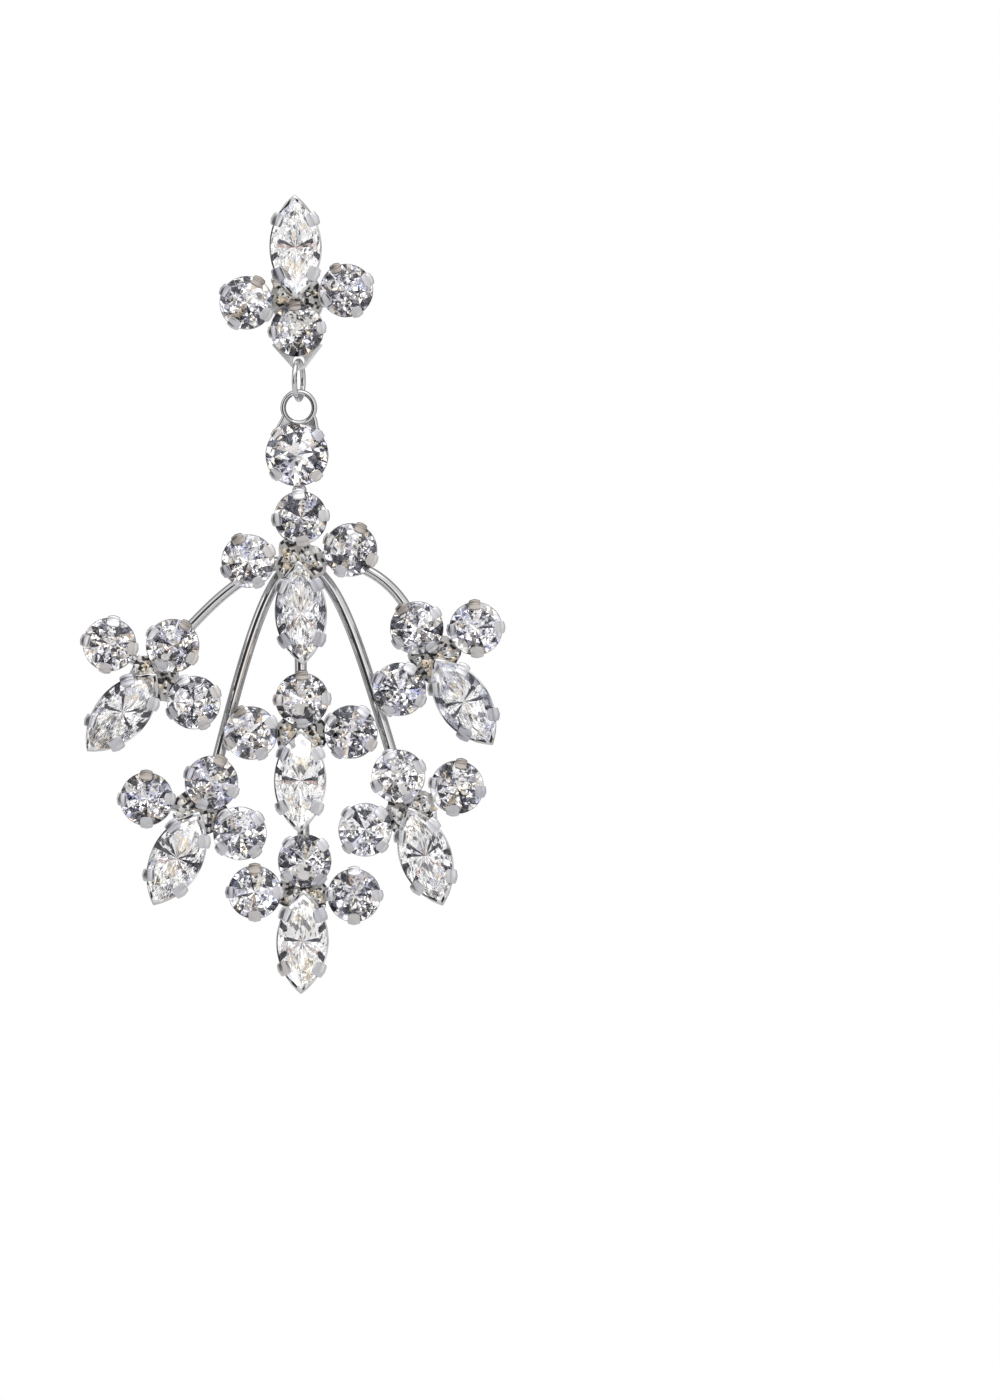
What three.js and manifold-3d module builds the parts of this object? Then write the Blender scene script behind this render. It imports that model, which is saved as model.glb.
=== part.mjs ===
// Chandelier earring: round and navette stones in claw settings, hung from a stud on a post.
// Sizes are millimetres. X runs to the right in the front view, Y from front to back, Z up.
// The origin is where the ear post leaves its pad, on the face that lies against the ear lobe.

import * as THREE from 'three';
import { mergeVertices } from 'three/addons/utils/BufferGeometryUtils.js';
import Module from 'manifold-3d';

const wasm = await Module();
wasm.setup();

// Stones
const ROUND_STONE = 6.1;
const CONNECTOR_STONE = 7.2;
const NAVETTE_LENGTH = 11.9;
const NAVETTE_WIDTH = 5.95;
const CROWN_HEIGHT = 0.95;
const PAVILION_DEPTH = 2.2;
const GIRDLE = 0.15;
const TABLE_SHARE = 0.55;
const CULET_SHARE = 0.06;
const STONE_SIDES = 12;

// Claw settings
const STONE_CLEARANCE = 0.12;
const SETTING_RIM = 0.08;
const SETTING_FLOOR = 0.5;
const SETTING_FOOT_SHARE = 0.62;
const NAVETTE_LIFT = 0.6;
const CLAW_WIDTH = 1.3;
const CLAW_THICKNESS = 0.28;
const CLAW_REACH = 0.75;
const CLAW_ROOT = 1.3;
const CLAW_ROOT_INSET = 0.75;
const NAVETTE_CLAW_ANGLE = 26;

// Soldered joints behind the settings
const STRUT_DIAMETER = 1.2;
const STRUT_INSET = 0.05;
const HUB_DIAMETER = 2.4;
const STRUT_SIDES = 6;

// Curved wires of the drop
const OUTER_WIRE = 1.25;
const INNER_WIRE = 1.4;
const WIRE_SIDES = 8;
const WIRE_STEPS = 12;

// Stud plate, jump ring link and the ring on top of the drop
const HANGING_PLANE = -2.75;
const PLATE_THICKNESS = 0.8;
const PLATE_DROP = 3.6;
const PLATE_WING = 0.4;
const PLATE_WING_ANGLE = 60;
const PLATE_SLOPE = 39;
const PLATE_END_RADIUS = 1.1;
const HOLE_OFFSET = 0.25;
const HOLE_DIAMETER = 1.35;
const LINK_DIAMETER = 5.1;
const LINK_WIRE = 0.62;
const LINK_TURN = 12;
const LINK_CLEARANCE = 0.2;
const RING_DIAMETER = 4.3;
const RING_WIRE = 0.66;
const PEG_DIAMETER = 0.9;
const PEG_DEPTH = 1.3;
const PEG_SLANT = 0.9;
const SHOULDER_DIAMETER = 0.8;
const SHOULDER_BEARING = 28;
const LINK_SIDES = 16;
const LINK_WIRE_SIDES = 6;

// Ear post
const POST_PAD_DIAMETER = 6.4;
const POST_PAD_THICKNESS = 0.8;
const POST_DIAMETER = 0.9;
const POST_LENGTH = 11;
const POST_CLEARANCE = 0.08;
const POST_SIDES = 16;

// Spaces down the middle of the drop, from one setting to the next
const RING_TO_CONNECTOR = -0.25;
const CONNECTOR_TO_HEAD = 0.7;
const UPPER_TO_MIDDLE = 1.1;
const MIDDLE_TO_LOWER = 0.4;
const OUTER_EXTRA = 0.8;

// Planes across the depth
const SETTING_DEPTH = GIRDLE / 2 + PAVILION_DEPTH + STONE_CLEARANCE + SETTING_FLOOR;
const STUD_BACK = -POST_PAD_THICKNESS - POST_CLEARANCE;
const DROP_BACK_FROM_HANGING_PLANE = 2.05;
const DROP_BACK = HANGING_PLANE + DROP_BACK_FROM_HANGING_PLANE;

// Finishes
const RHODIUM = { color: 0xc8cbd1, roughness: 0.2, metalness: 1.0 };
const CRYSTAL = { color: 0xdde5ee, roughness: 0.03, metalness: 0.0 };

// The eight clusters. Each has a navette that points away from its hub along aim, and three
// rounds about the hub. Bearings are degrees from the navette's direction, reach is in round
// stone diameters, and claw is the direction of the first of four claws, in degrees.
const STUD_CLUSTER = {
  name: 'stud',
  aim: 91,
  rounds: [
    { seat: 'low', reach: 0.602, bearing: -180, claw: 5 },
    { seat: 'left', reach: 0.964, bearing: 94, claw: 28 },
    { seat: 'right', reach: 0.966, bearing: -82, claw: 26 },
  ],
};
const DROP_CLUSTERS = [
  {
    name: 'upper',
    aim: -87.5,
    rounds: [
      { seat: 'head', reach: 0.845, bearing: 175, claw: 5 },
      { seat: 'left', reach: 0.967, bearing: -93.5, claw: 25 },
      { seat: 'right', reach: 1.017, bearing: 100.5, claw: 65 },
    ],
  },
  {
    name: 'middle',
    bearing: -89.2,
    aim: -91,
    rounds: [
      { seat: 'head', reach: 0.575, bearing: 179, claw: 1 },
      { seat: 'left', reach: 0.965, bearing: -85, claw: 27 },
      { seat: 'right', reach: 0.955, bearing: 88, claw: 58 },
    ],
  },
  {
    name: 'lower',
    bearing: -89.1,
    aim: -91.5,
    rounds: [
      { seat: 'head', reach: 0.565, bearing: 180, claw: 41 },
      { seat: 'left', reach: 0.94, bearing: -86.5, claw: 0 },
      { seat: 'right', reach: 0.965, bearing: 86, claw: 0 },
    ],
  },
  {
    name: 'outer_left',
    bearing: -141.6,
    aim: -132,
    rounds: [
      { seat: 'head', reach: 0.631, bearing: -167, claw: 57 },
      { seat: 'left', reach: 1.068, bearing: -80.5, claw: 80 },
      { seat: 'right', reach: 0.89, bearing: 95, claw: 25 },
    ],
  },
  {
    name: 'outer_right',
    bearing: -35.6,
    aim: -56,
    rounds: [
      { seat: 'head', reach: 0.695, bearing: 176, claw: 38 },
      { seat: 'left', reach: 0.89, bearing: -84, claw: 62 },
      { seat: 'right', reach: 0.979, bearing: 93, claw: 3 },
    ],
  },
  {
    name: 'inner_left',
    bearing: -111.6,
    aim: -116.3,
    rounds: [
      { seat: 'head', reach: 0.618, bearing: -175.5, claw: 67 },
      { seat: 'left', reach: 1.044, bearing: -78, claw: 0 },
      { seat: 'right', reach: 0.87, bearing: 89, claw: 40 },
    ],
  },
  {
    name: 'inner_right',
    bearing: -65.9,
    aim: -70.8,
    rounds: [
      { seat: 'head', reach: 0.637, bearing: 179, claw: 24 },
      { seat: 'left', reach: 0.935, bearing: -82.6, claw: 46 },
      { seat: 'right', reach: 1.006, bearing: 94, claw: 80 },
    ],
  },
];

// The four curved wires, from the upper hub to the head of a side cluster. Leave and arrive are
// directions in degrees, and their shares are handle lengths over the straight distance.
const WIRES = [
  { to: 'inner_left', wire: INNER_WIRE, leave: -172, leaveShare: 0.13, arrive: -104, arriveShare: 0.58 },
  { to: 'inner_right', wire: INNER_WIRE, leave: -13, leaveShare: 0.18, arrive: -73, arriveShare: 0.56 },
  { to: 'outer_left', wire: OUTER_WIRE, leave: 180, leaveShare: 0.28, arrive: -131, arriveShare: 0.49 },
  { to: 'outer_right', wire: OUTER_WIRE, leave: 8.7, leaveShare: 0.4, arrive: -68, arriveShare: 0.43 },
];

// A point in the front view, at a distance and a direction in degrees from another
function polar(from, distance, degrees) {
  const angle = THREE.MathUtils.degToRad(degrees);
  return { x: from.x + distance * Math.cos(angle), z: from.z + distance * Math.sin(angle) };
}

// The direction in degrees from one point to another in the front view
function direction(from, to) {
  return THREE.MathUtils.radToDeg(Math.atan2(to.z - from.z, to.x - from.x));
}

function solidOf(geometry) {
  const bare = geometry.clone();
  bare.deleteAttribute('normal');
  bare.deleteAttribute('uv');
  const merged = mergeVertices(bare, 1e-5);
  return new wasm.Manifold(new wasm.Mesh({
    numProp: 3,
    vertProperties: new Float32Array(merged.attributes.position.array),
    triVerts: new Uint32Array(merged.index.array),
  }));
}

function geometryOf(solid) {
  const mesh = solid.getMesh();
  const geometry = new THREE.BufferGeometry();
  geometry.setAttribute('position', new THREE.BufferAttribute(mesh.vertProperties, 3));
  geometry.setIndex(new THREE.BufferAttribute(mesh.triVerts, 1));
  geometry.computeVertexNormals();
  return geometry;
}

function joined(solids) {
  return solids.reduce((whole, solid) => whole.add(solid));
}

// Outlines run anticlockwise in the front view, about the stone's centre
function roundOutline(radius) {
  const points = [];
  for (let i = 0; i < STONE_SIDES; i += 1) {
    points.push(polar({ x: 0, z: 0 }, radius, (360 * i) / STONE_SIDES));
  }
  return points;
}

// A navette's two sides are arcs that meet in points at its ends
function navetteArc(halfLength, halfWidth) {
  const radius = (halfLength ** 2 + halfWidth ** 2) / (2 * halfWidth);
  return { radius, offset: radius - halfWidth, sweep: Math.asin(halfLength / radius) };
}

function navetteOutline(halfLength, halfWidth, aim) {
  const arc = navetteArc(halfLength, halfWidth);
  const perSide = STONE_SIDES / 2;
  const points = [];
  for (const side of [1, -1]) {
    for (let i = 0; i < perSide; i += 1) {
      const angle = THREE.MathUtils.degToRad(aim + 90 * side)
        + arc.sweep * ((2 * i) / perSide - 1);
      const centre = polar({ x: 0, z: 0 }, -arc.offset, aim + 90 * side);
      points.push(polar(centre, arc.radius, THREE.MathUtils.radToDeg(angle)));
    }
  }
  return points;
}

// A closed body through copies of an outline. Levels run from the back to the front, or on into
// a hollow, and each gives the outline's share and its height in front of the girdle.
function stack(outline, levels, centre, girdlePlane) {
  const count = outline.length;
  const positions = [];
  const indices = [];
  for (const level of levels) {
    for (const point of outline) {
      const x = centre.x + point.x * level.share;
      const z = centre.z + point.z * level.share;
      positions.push(x, girdlePlane - level.height, z);
    }
  }
  for (let i = 0; i < levels.length - 1; i += 1) {
    for (let j = 0; j < count; j += 1) {
      const next = (j + 1) % count;
      const a = i * count + j;
      const b = i * count + next;
      const c = (i + 1) * count + next;
      const d = (i + 1) * count + j;
      indices.push(a, b, c, a, c, d);
    }
  }
  const front = (levels.length - 1) * count;
  for (let j = 1; j < count - 1; j += 1) {
    indices.push(0, j + 1, j);
    indices.push(front, front + j, front + j + 1);
  }
  const geometry = new THREE.BufferGeometry();
  geometry.setAttribute('position', new THREE.Float32BufferAttribute(positions, 3));
  geometry.setIndex(indices);
  return geometry;
}

// A cut stone: pointed pavilion, thin girdle, crown facets and a flat table
function stoneGeometry(seat) {
  return stack(seat.outline, [
    { share: CULET_SHARE, height: -GIRDLE / 2 - PAVILION_DEPTH },
    { share: 1, height: -GIRDLE / 2 },
    { share: 1, height: GIRDLE / 2 },
    { share: TABLE_SHARE, height: GIRDLE / 2 + CROWN_HEIGHT },
  ], seat.centre, seat.girdlePlane);
}

// The cup of a setting, whose hollow follows the stone's pavilion
function cup(seat) {
  const rim = 1 + SETTING_RIM / seat.halfWidth;
  const underGirdle = -GIRDLE / 2 - STONE_CLEARANCE;
  return solidOf(stack(seat.outline, [
    { share: SETTING_FOOT_SHARE, height: -seat.depth },
    { share: rim, height: underGirdle },
    { share: CULET_SHARE, height: underGirdle - PAVILION_DEPTH },
  ], seat.centre, seat.girdlePlane));
}

// A claw rises from the cup's wall and folds over the crown. Its profile is drawn outward from
// the girdle's edge, and up towards the front.
function claw(edge, outward, crownSlope, girdlePlane) {
  const inner = STONE_CLEARANCE;
  const outer = STONE_CLEARANCE + CLAW_THICKNESS;
  const tip = GIRDLE / 2 + crownSlope * CLAW_REACH + STONE_CLEARANCE;
  const bend = CLAW_THICKNESS;
  const profile = new THREE.Shape();
  profile.moveTo(-CLAW_ROOT_INSET, -CLAW_ROOT);
  profile.lineTo(outer, -bend);
  profile.lineTo(outer, bend);
  profile.lineTo(-CLAW_REACH, tip + CLAW_THICKNESS);
  profile.lineTo(-CLAW_REACH, tip);
  profile.lineTo(inner, bend);
  profile.lineTo(inner, -bend);
  profile.closePath();
  const geometry = new THREE.ExtrudeGeometry(profile, {
    depth: CLAW_WIDTH,
    steps: 1,
    bevelEnabled: false,
  });
  geometry.translate(0, 0, -CLAW_WIDTH / 2);
  const angle = THREE.MathUtils.degToRad(outward);
  const radial = new THREE.Vector3(Math.cos(angle), 0, Math.sin(angle));
  const forward = new THREE.Vector3(0, -1, 0);
  const across = new THREE.Vector3().crossVectors(radial, forward);
  const placement = new THREE.Matrix4().makeBasis(radial, forward, across);
  placement.setPosition(edge.x, girdlePlane, edge.z);
  return solidOf(geometry.applyMatrix4(placement));
}

function claws(seat) {
  const slope = CROWN_HEIGHT / ((1 - TABLE_SHARE) * seat.halfWidth);
  return seat.claws.map(({ edge, outward }) => claw(edge, outward, slope, seat.girdlePlane));
}

// A round bar from one point to another
function bar(from, to, diameter, sides) {
  const start = new THREE.Vector3(from.x, from.y, from.z);
  const end = new THREE.Vector3(to.x, to.y, to.z);
  const along = end.clone().sub(start);
  const geometry = new THREE.CylinderGeometry(diameter / 2, diameter / 2, along.length(), sides);
  const turn = new THREE.Quaternion();
  turn.setFromUnitVectors(new THREE.Vector3(0, 1, 0), along.clone().normalize());
  geometry.applyQuaternion(turn);
  const middle = start.add(end).multiplyScalar(0.5);
  return solidOf(geometry.translate(middle.x, middle.y, middle.z));
}

// A strut leaves the metal under one setting or hub and ends in the metal under another
function strut(from, to, back) {
  const y = back - STRUT_DIAMETER / 2 - STRUT_INSET;
  const way = direction(from.centre, to.centre);
  const start = polar(from.centre, from.solderRadius, way);
  const end = polar(to.centre, -to.solderRadius, way);
  return bar({ ...start, y }, { ...end, y }, STRUT_DIAMETER, STRUT_SIDES);
}

function hubDrum(hub, back) {
  const front = { ...hub, y: back - STRUT_DIAMETER - 2 * STRUT_INSET };
  return bar({ ...hub, y: back }, front, HUB_DIAMETER, STRUT_SIDES);
}

// A seat holds everything that a stone and its setting share
function roundSeat(name, centre, diameter, clawStart, back) {
  const claws4 = [0, 90, 180, 270].map((step) => {
    const outward = clawStart + step;
    return { outward, edge: polar(centre, diameter / 2, outward) };
  });
  return {
    name,
    centre,
    outline: roundOutline(diameter / 2),
    halfWidth: diameter / 2,
    depth: SETTING_DEPTH,
    girdlePlane: back - SETTING_DEPTH,
    solderRadius: SETTING_FOOT_SHARE * (diameter / 2) * 0.75,
    claws: claws4,
  };
}

function navetteSeat(name, centre, aim, back) {
  const halfLength = NAVETTE_LENGTH / 2;
  const halfWidth = NAVETTE_WIDTH / 2;
  const arc = navetteArc(halfLength, halfWidth);
  const clawList = [];
  for (const side of [1, -1]) {
    for (const end of [1, -1]) {
      const outward = aim + 90 * side + NAVETTE_CLAW_ANGLE * end;
      const arcCentre = polar(centre, -arc.offset, aim + 90 * side);
      clawList.push({ outward, edge: polar(arcCentre, arc.radius, outward) });
    }
  }
  return {
    name,
    centre,
    outline: navetteOutline(halfLength, halfWidth, aim),
    halfWidth,
    depth: SETTING_DEPTH + NAVETTE_LIFT,
    girdlePlane: back - SETTING_DEPTH - NAVETTE_LIFT,
    solderRadius: SETTING_FOOT_SHARE * halfLength * 0.75,
    claws: clawList,
  };
}

// The seats of one cluster about its hub
function clusterSeats(cluster, hub, back) {
  const seats = cluster.rounds.map((round) => {
    const centre = polar(hub, round.reach * ROUND_STONE, cluster.aim + round.bearing);
    const name = `${cluster.name}_${round.seat}_round`;
    return roundSeat(name, centre, ROUND_STONE, round.claw, back);
  });
  const navetteCentre = polar(hub, NAVETTE_LENGTH / 2, cluster.aim);
  seats.push(navetteSeat(`${cluster.name}_navette`, navetteCentre, cluster.aim, back));
  return seats;
}

// The metal of one cluster: four settings soldered to a hub behind them
function clusterMetal(seats, hub, back) {
  const hubPlace = { centre: hub, solderRadius: 0 };
  return [
    hubDrum(hub, back),
    ...seats.flatMap((seat) => [cup(seat), ...claws(seat), strut(seat, hubPlace, back)]),
  ];
}

// A curved wire behind the settings, let into their feet
function curvedWire(row, start, end) {
  const distance = Math.hypot(end.x - start.x, end.z - start.z);
  const y = DROP_BACK + row.wire / 2 - SETTING_FLOOR;
  const out = polar(start, distance * row.leaveShare, row.leave);
  const back = polar(end, -distance * row.arriveShare, row.arrive);
  const path = new THREE.CubicBezierCurve3(
    new THREE.Vector3(start.x, y, start.z),
    new THREE.Vector3(out.x, y, out.z),
    new THREE.Vector3(back.x, y, back.z),
    new THREE.Vector3(end.x, y, end.z),
  );
  return solidOf(new THREE.ExtrudeGeometry(polygon(row.wire / 2, WIRE_SIDES), {
    extrudePath: path,
    steps: WIRE_STEPS,
    bevelEnabled: false,
  }));
}

function polygon(radius, sides) {
  const shape = new THREE.Shape();
  for (let i = 0; i < sides; i += 1) {
    const angle = (2 * Math.PI * i) / sides;
    const x = radius * Math.cos(angle);
    const y = radius * Math.sin(angle);
    if (i === 0) {
      shape.moveTo(x, y);
    } else {
      shape.lineTo(x, y);
    }
  }
  shape.closePath();
  return shape;
}

// A closed wire ring that stands in the front view's plane
function wireRing(diameter, wire) {
  const geometry = new THREE.TorusGeometry(
    (diameter - wire) / 2,
    wire / 2,
    LINK_WIRE_SIDES,
    LINK_SIDES,
  );
  return geometry.rotateX(Math.PI / 2);
}

// Heights down the middle of the earring
const studHub = { x: 0, z: 0 };
const studSeats = clusterSeats(STUD_CLUSTER, studHub, STUD_BACK);
const lowSeat = studSeats[0];
const hole = { x: studHub.x + HOLE_OFFSET, z: lowSeat.centre.z - PLATE_DROP };
const linkRadius = (LINK_DIAMETER - LINK_WIRE) / 2;
const linkCentre = { x: hole.x, z: hole.z - linkRadius };
const ringRadius = (RING_DIAMETER - RING_WIRE) / 2;
const ringTop = hole.z - 2 * linkRadius + (LINK_WIRE + RING_WIRE) / 2 + LINK_CLEARANCE;
const ringCentre = { x: hole.x, z: ringTop - ringRadius };
const connectorCentre = {
  x: hole.x - 0.2,
  z: ringCentre.z - RING_DIAMETER / 2 - CONNECTOR_STONE / 2 - RING_TO_CONNECTOR,
};
const headReach = (cluster) => cluster.rounds[0].reach * ROUND_STONE;
const upperHub = {
  x: hole.x,
  z: connectorCentre.z - CONNECTOR_STONE / 2 - CONNECTOR_TO_HEAD - ROUND_STONE / 2
    - headReach(DROP_CLUSTERS[0]),
};
const middleSpan = NAVETTE_LENGTH + UPPER_TO_MIDDLE + ROUND_STONE / 2
  + headReach(DROP_CLUSTERS[1]);
const lowerSpan = middleSpan + NAVETTE_LENGTH + MIDDLE_TO_LOWER + ROUND_STONE / 2
  + headReach(DROP_CLUSTERS[2]);
const spans = {
  upper: 0,
  middle: middleSpan,
  lower: lowerSpan,
  outer_left: middleSpan + 2 * OUTER_EXTRA,
  outer_right: middleSpan,
  inner_left: middleSpan + NAVETTE_LENGTH,
  inner_right: middleSpan + NAVETTE_LENGTH,
};
const dropClusters = DROP_CLUSTERS.map((cluster) => {
  const hub = cluster.name === 'upper'
    ? upperHub
    : polar(upperHub, spans[cluster.name], cluster.bearing);
  return { name: cluster.name, hub, seats: clusterSeats(cluster, hub, DROP_BACK) };
});
const connectorSeat = roundSeat('connector_round', connectorCentre, CONNECTOR_STONE, 43, DROP_BACK);

// The pointed plate under the stud, with the hole that the link hangs in
function studPlate() {
  const wingRadius = ROUND_STONE / 2 + PLATE_WING;
  const innerRadius = ROUND_STONE / 2 - 0.7;
  const down = -90;
  const centre = lowSeat.centre;
  const leftWing = polar(centre, wingRadius, down - PLATE_WING_ANGLE);
  const rightWing = polar(centre, wingRadius, down + PLATE_WING_ANGLE);
  const plate = new THREE.Shape();
  const slope = THREE.MathUtils.degToRad(PLATE_SLOPE);
  plate.moveTo(leftWing.x, leftWing.z);
  plate.absarc(hole.x, hole.z, PLATE_END_RADIUS, Math.PI + slope, 2 * Math.PI - slope, false);
  plate.lineTo(rightWing.x, rightWing.z);
  const startAngle = THREE.MathUtils.degToRad(down + PLATE_WING_ANGLE);
  const endAngle = THREE.MathUtils.degToRad(down - PLATE_WING_ANGLE);
  plate.absarc(centre.x, centre.z, innerRadius, startAngle, endAngle, true);
  plate.closePath();
  const opening = new THREE.Path();
  opening.absarc(hole.x, hole.z, HOLE_DIAMETER / 2, 0, 2 * Math.PI, true);
  plate.holes.push(opening);
  const geometry = new THREE.ExtrudeGeometry(plate, {
    depth: PLATE_THICKNESS,
    steps: 1,
    bevelEnabled: false,
    curveSegments: 6,
  });
  geometry.rotateX(Math.PI / 2);
  geometry.translate(0, HANGING_PLANE + PLATE_THICKNESS / 2, 0);
  return solidOf(geometry);
}

// The ring on top of the drop, soldered to the connector's setting by a peg behind the stone and
// by two shoulders that run down to the upper claws
function dropRing() {
  const ring = wireRing(RING_DIAMETER, RING_WIRE).translate(ringCentre.x, HANGING_PLANE, ringCentre.z);
  const pegTop = ringCentre.z - ringRadius;
  const pegBottom = connectorCentre.z + CONNECTOR_STONE / 2 - PEG_DEPTH;
  const peg = bar(
    { x: ringCentre.x, y: HANGING_PLANE, z: pegTop },
    { x: ringCentre.x, y: HANGING_PLANE + PEG_SLANT, z: pegBottom },
    PEG_DIAMETER,
    STRUT_SIDES,
  );
  const shoulders = [-SHOULDER_BEARING, 180 + SHOULDER_BEARING].map((bearing, index) => {
    const onRing = polar(ringCentre, ringRadius, bearing);
    const onSetting = connectorSeat.claws[index].edge;
    return bar(
      { ...onRing, y: HANGING_PLANE },
      { ...onSetting, y: HANGING_PLANE },
      SHOULDER_DIAMETER,
      STRUT_SIDES,
    );
  });
  return [solidOf(ring), peg, ...shoulders];
}

function studFrame() {
  return joined([...clusterMetal(studSeats, studHub, STUD_BACK), studPlate()]);
}

function dropFrame() {
  const named = Object.fromEntries(dropClusters.map((cluster) => [cluster.name, cluster]));
  const wires = WIRES.map((row) => curvedWire(row, upperHub, named[row.to].seats[0].centre));
  const spineY = DROP_BACK + INNER_WIRE / 2 - SETTING_FLOOR;
  const spine = bar(
    { ...upperHub, y: spineY },
    { ...named.lower.hub, y: spineY },
    INNER_WIRE,
    WIRE_SIDES,
  );
  return joined([
    ...dropClusters.flatMap((cluster) => clusterMetal(cluster.seats, cluster.hub, DROP_BACK)),
    cup(connectorSeat),
    ...claws(connectorSeat),
    strut(connectorSeat, named.upper.seats[0], DROP_BACK),
    ...dropRing(),
    ...wires,
    spine,
  ]);
}

// The pad lies flat on the back of the stud, and the post runs on through the ear lobe
function earPost() {
  const pad = bar(
    { ...studHub, y: -POST_PAD_THICKNESS },
    { ...studHub, y: 0 },
    POST_PAD_DIAMETER,
    POST_SIDES,
  );
  const post = bar(
    { ...studHub, y: -POST_PAD_THICKNESS / 2 },
    { ...studHub, y: POST_LENGTH },
    POST_DIAMETER,
    POST_SIDES,
  );
  return joined([pad, post]);
}

function namedMesh(name, geometry, finish) {
  const mesh = new THREE.Mesh(geometry, new THREE.MeshStandardMaterial(finish));
  mesh.name = name;
  return mesh;
}

const earring = new THREE.Group();
earring.name = 'chandelier_earring';

const stud = new THREE.Group();
stud.add(namedMesh('stud_frame', geometryOf(studFrame()), RHODIUM));
stud.add(namedMesh('ear_post', geometryOf(earPost()), RHODIUM));
for (const seat of studSeats) {
  stud.add(namedMesh(`${seat.name}_stone`, stoneGeometry(seat), CRYSTAL));
}
earring.add(stud);

const link = namedMesh('jump_ring_link', wireRing(LINK_DIAMETER, LINK_WIRE), RHODIUM);
link.rotation.z = THREE.MathUtils.degToRad(90 - LINK_TURN);
link.position.set(linkCentre.x, HANGING_PLANE, linkCentre.z);
earring.add(link);

const drop = new THREE.Group();
drop.add(namedMesh('drop_frame', geometryOf(dropFrame()), RHODIUM));
for (const seat of [connectorSeat, ...dropClusters.flatMap((cluster) => cluster.seats)]) {
  drop.add(namedMesh(`${seat.name}_stone`, stoneGeometry(seat), CRYSTAL));
}
earring.add(drop);

export default earring;
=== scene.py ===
import math
import random

import bmesh
import bpy
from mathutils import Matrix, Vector, noise
from mathutils.geometry import delaunay_2d_cdt


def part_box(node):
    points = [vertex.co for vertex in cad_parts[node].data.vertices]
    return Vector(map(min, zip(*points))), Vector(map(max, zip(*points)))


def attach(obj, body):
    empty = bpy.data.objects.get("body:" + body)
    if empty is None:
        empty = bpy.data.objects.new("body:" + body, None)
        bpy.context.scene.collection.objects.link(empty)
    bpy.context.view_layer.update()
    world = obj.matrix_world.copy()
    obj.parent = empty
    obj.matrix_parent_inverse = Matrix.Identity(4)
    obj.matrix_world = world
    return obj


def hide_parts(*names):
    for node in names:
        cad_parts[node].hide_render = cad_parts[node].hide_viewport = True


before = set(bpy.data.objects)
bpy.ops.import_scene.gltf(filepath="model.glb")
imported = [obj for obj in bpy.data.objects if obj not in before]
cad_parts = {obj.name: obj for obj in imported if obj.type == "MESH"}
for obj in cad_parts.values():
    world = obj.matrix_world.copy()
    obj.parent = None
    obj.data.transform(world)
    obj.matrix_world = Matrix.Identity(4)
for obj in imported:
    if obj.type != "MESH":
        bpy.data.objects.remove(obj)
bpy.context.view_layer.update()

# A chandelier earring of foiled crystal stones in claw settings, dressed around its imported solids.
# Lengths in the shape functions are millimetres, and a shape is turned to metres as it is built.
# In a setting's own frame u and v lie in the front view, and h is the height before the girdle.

MM = 0.001

# Sizes shared with the solids
CROWN_HEIGHT = 0.95
PAVILION_DEPTH = 2.2
GIRDLE = 0.15
SETTING_FLOOR = 0.5
STONE_CLEARANCE = 0.12
SETTING_DEPTH = GIRDLE / 2 + PAVILION_DEPTH + STONE_CLEARANCE + SETTING_FLOOR
NAVETTE_LIFT = 0.6
NAVETTE_LENGTH = 11.9
NAVETTE_WIDTH = 5.95
FOOT_SHARE = 0.62
RIM = 0.08
OUTER_WIRE = 1.25
INNER_WIRE = 1.4
STRUT_DIAMETER = 1.2
HUB_DIAMETER = 2.4
PLATE_THICKNESS = 0.8
PLATE_WING = 0.4
PLATE_WING_ANGLE = 60
PLATE_SLOPE = 39
PLATE_END_RADIUS = 1.1
HOLE_RADIUS = 0.675
LINK_DIAMETER = 5.1
LINK_WIRE = 0.62
LINK_TURN = 12
RING_DIAMETER = 4.3
RING_WIRE = 0.66
SHOULDER_BEARING = 28
TAB_THICKNESS = 0.5
POST_PAD_DIAMETER = 6.4
POST_DIAMETER = 0.9

# Cut of the stones, as shares of the girdle
ROUND_TABLE = 0.53
ROUND_STAR = 0.75
NAVETTE_TABLE = 0.58
NAVETTE_STAR = 0.78
NAVETTE_STONE = 0.965
LOWER_ROW = 0.34
MIDDLE_ROW = 0.68
CUT_JITTER = 0.04
NAVETTE_ROWS = (0.18, 0.34, 0.48, 0.61, 0.73, 0.85)
# The waist facets of a navette that get painted reflection rays, how dark a painted ray counts as
# dark, and how often a facet breaks from its painted band
RAY_FIRST = 4
RAY_LAST = 11
RAY_START = 3
DARK_PAINTED_RAY = 0.2
STRAY_FACETS = 0.45
NAVETTE_JITTER = 0.05
GIRDLE_POINTS = 32
GIRDLE_SAG = 0.045

# Claws
ROUND_CLAW = {"width": 1.45, "stand": 1.2, "reach": 1.08}
NAVETTE_CLAW = {"width": 1.6, "stand": 1.9, "reach": 1.2}
CLAW_THICKNESS = 0.26
CLAW_CORNER = 0.36
CLAW_BOW = 0.2

# Each cluster's navette direction, and the direction of the first claw of each of its rounds
CLUSTERS = {
    "stud": {"aim": 91, "claws": {"low": 5, "left": 60, "right": 26}},
    "upper": {"aim": -87.5, "claws": {"head": 5, "left": 25, "right": 65}},
    "middle": {"aim": -91, "claws": {"head": 1, "left": 27, "right": 58}},
    "lower": {"aim": -91.5, "claws": {"head": 41, "left": 0, "right": 0}},
    "outer_left": {"aim": -132, "claws": {"head": 57, "left": 80, "right": 25}},
    "outer_right": {"aim": -56, "claws": {"head": 38, "left": 62, "right": 3}},
    "inner_left": {"aim": -116.3, "claws": {"head": 67, "left": 0, "right": 40}},
    "inner_right": {"aim": -70.8, "claws": {"head": 24, "left": 46, "right": 80}},
}
CONNECTOR_CLAW = 43
NAVETTE_CLAW_ANGLE = 26
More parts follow.
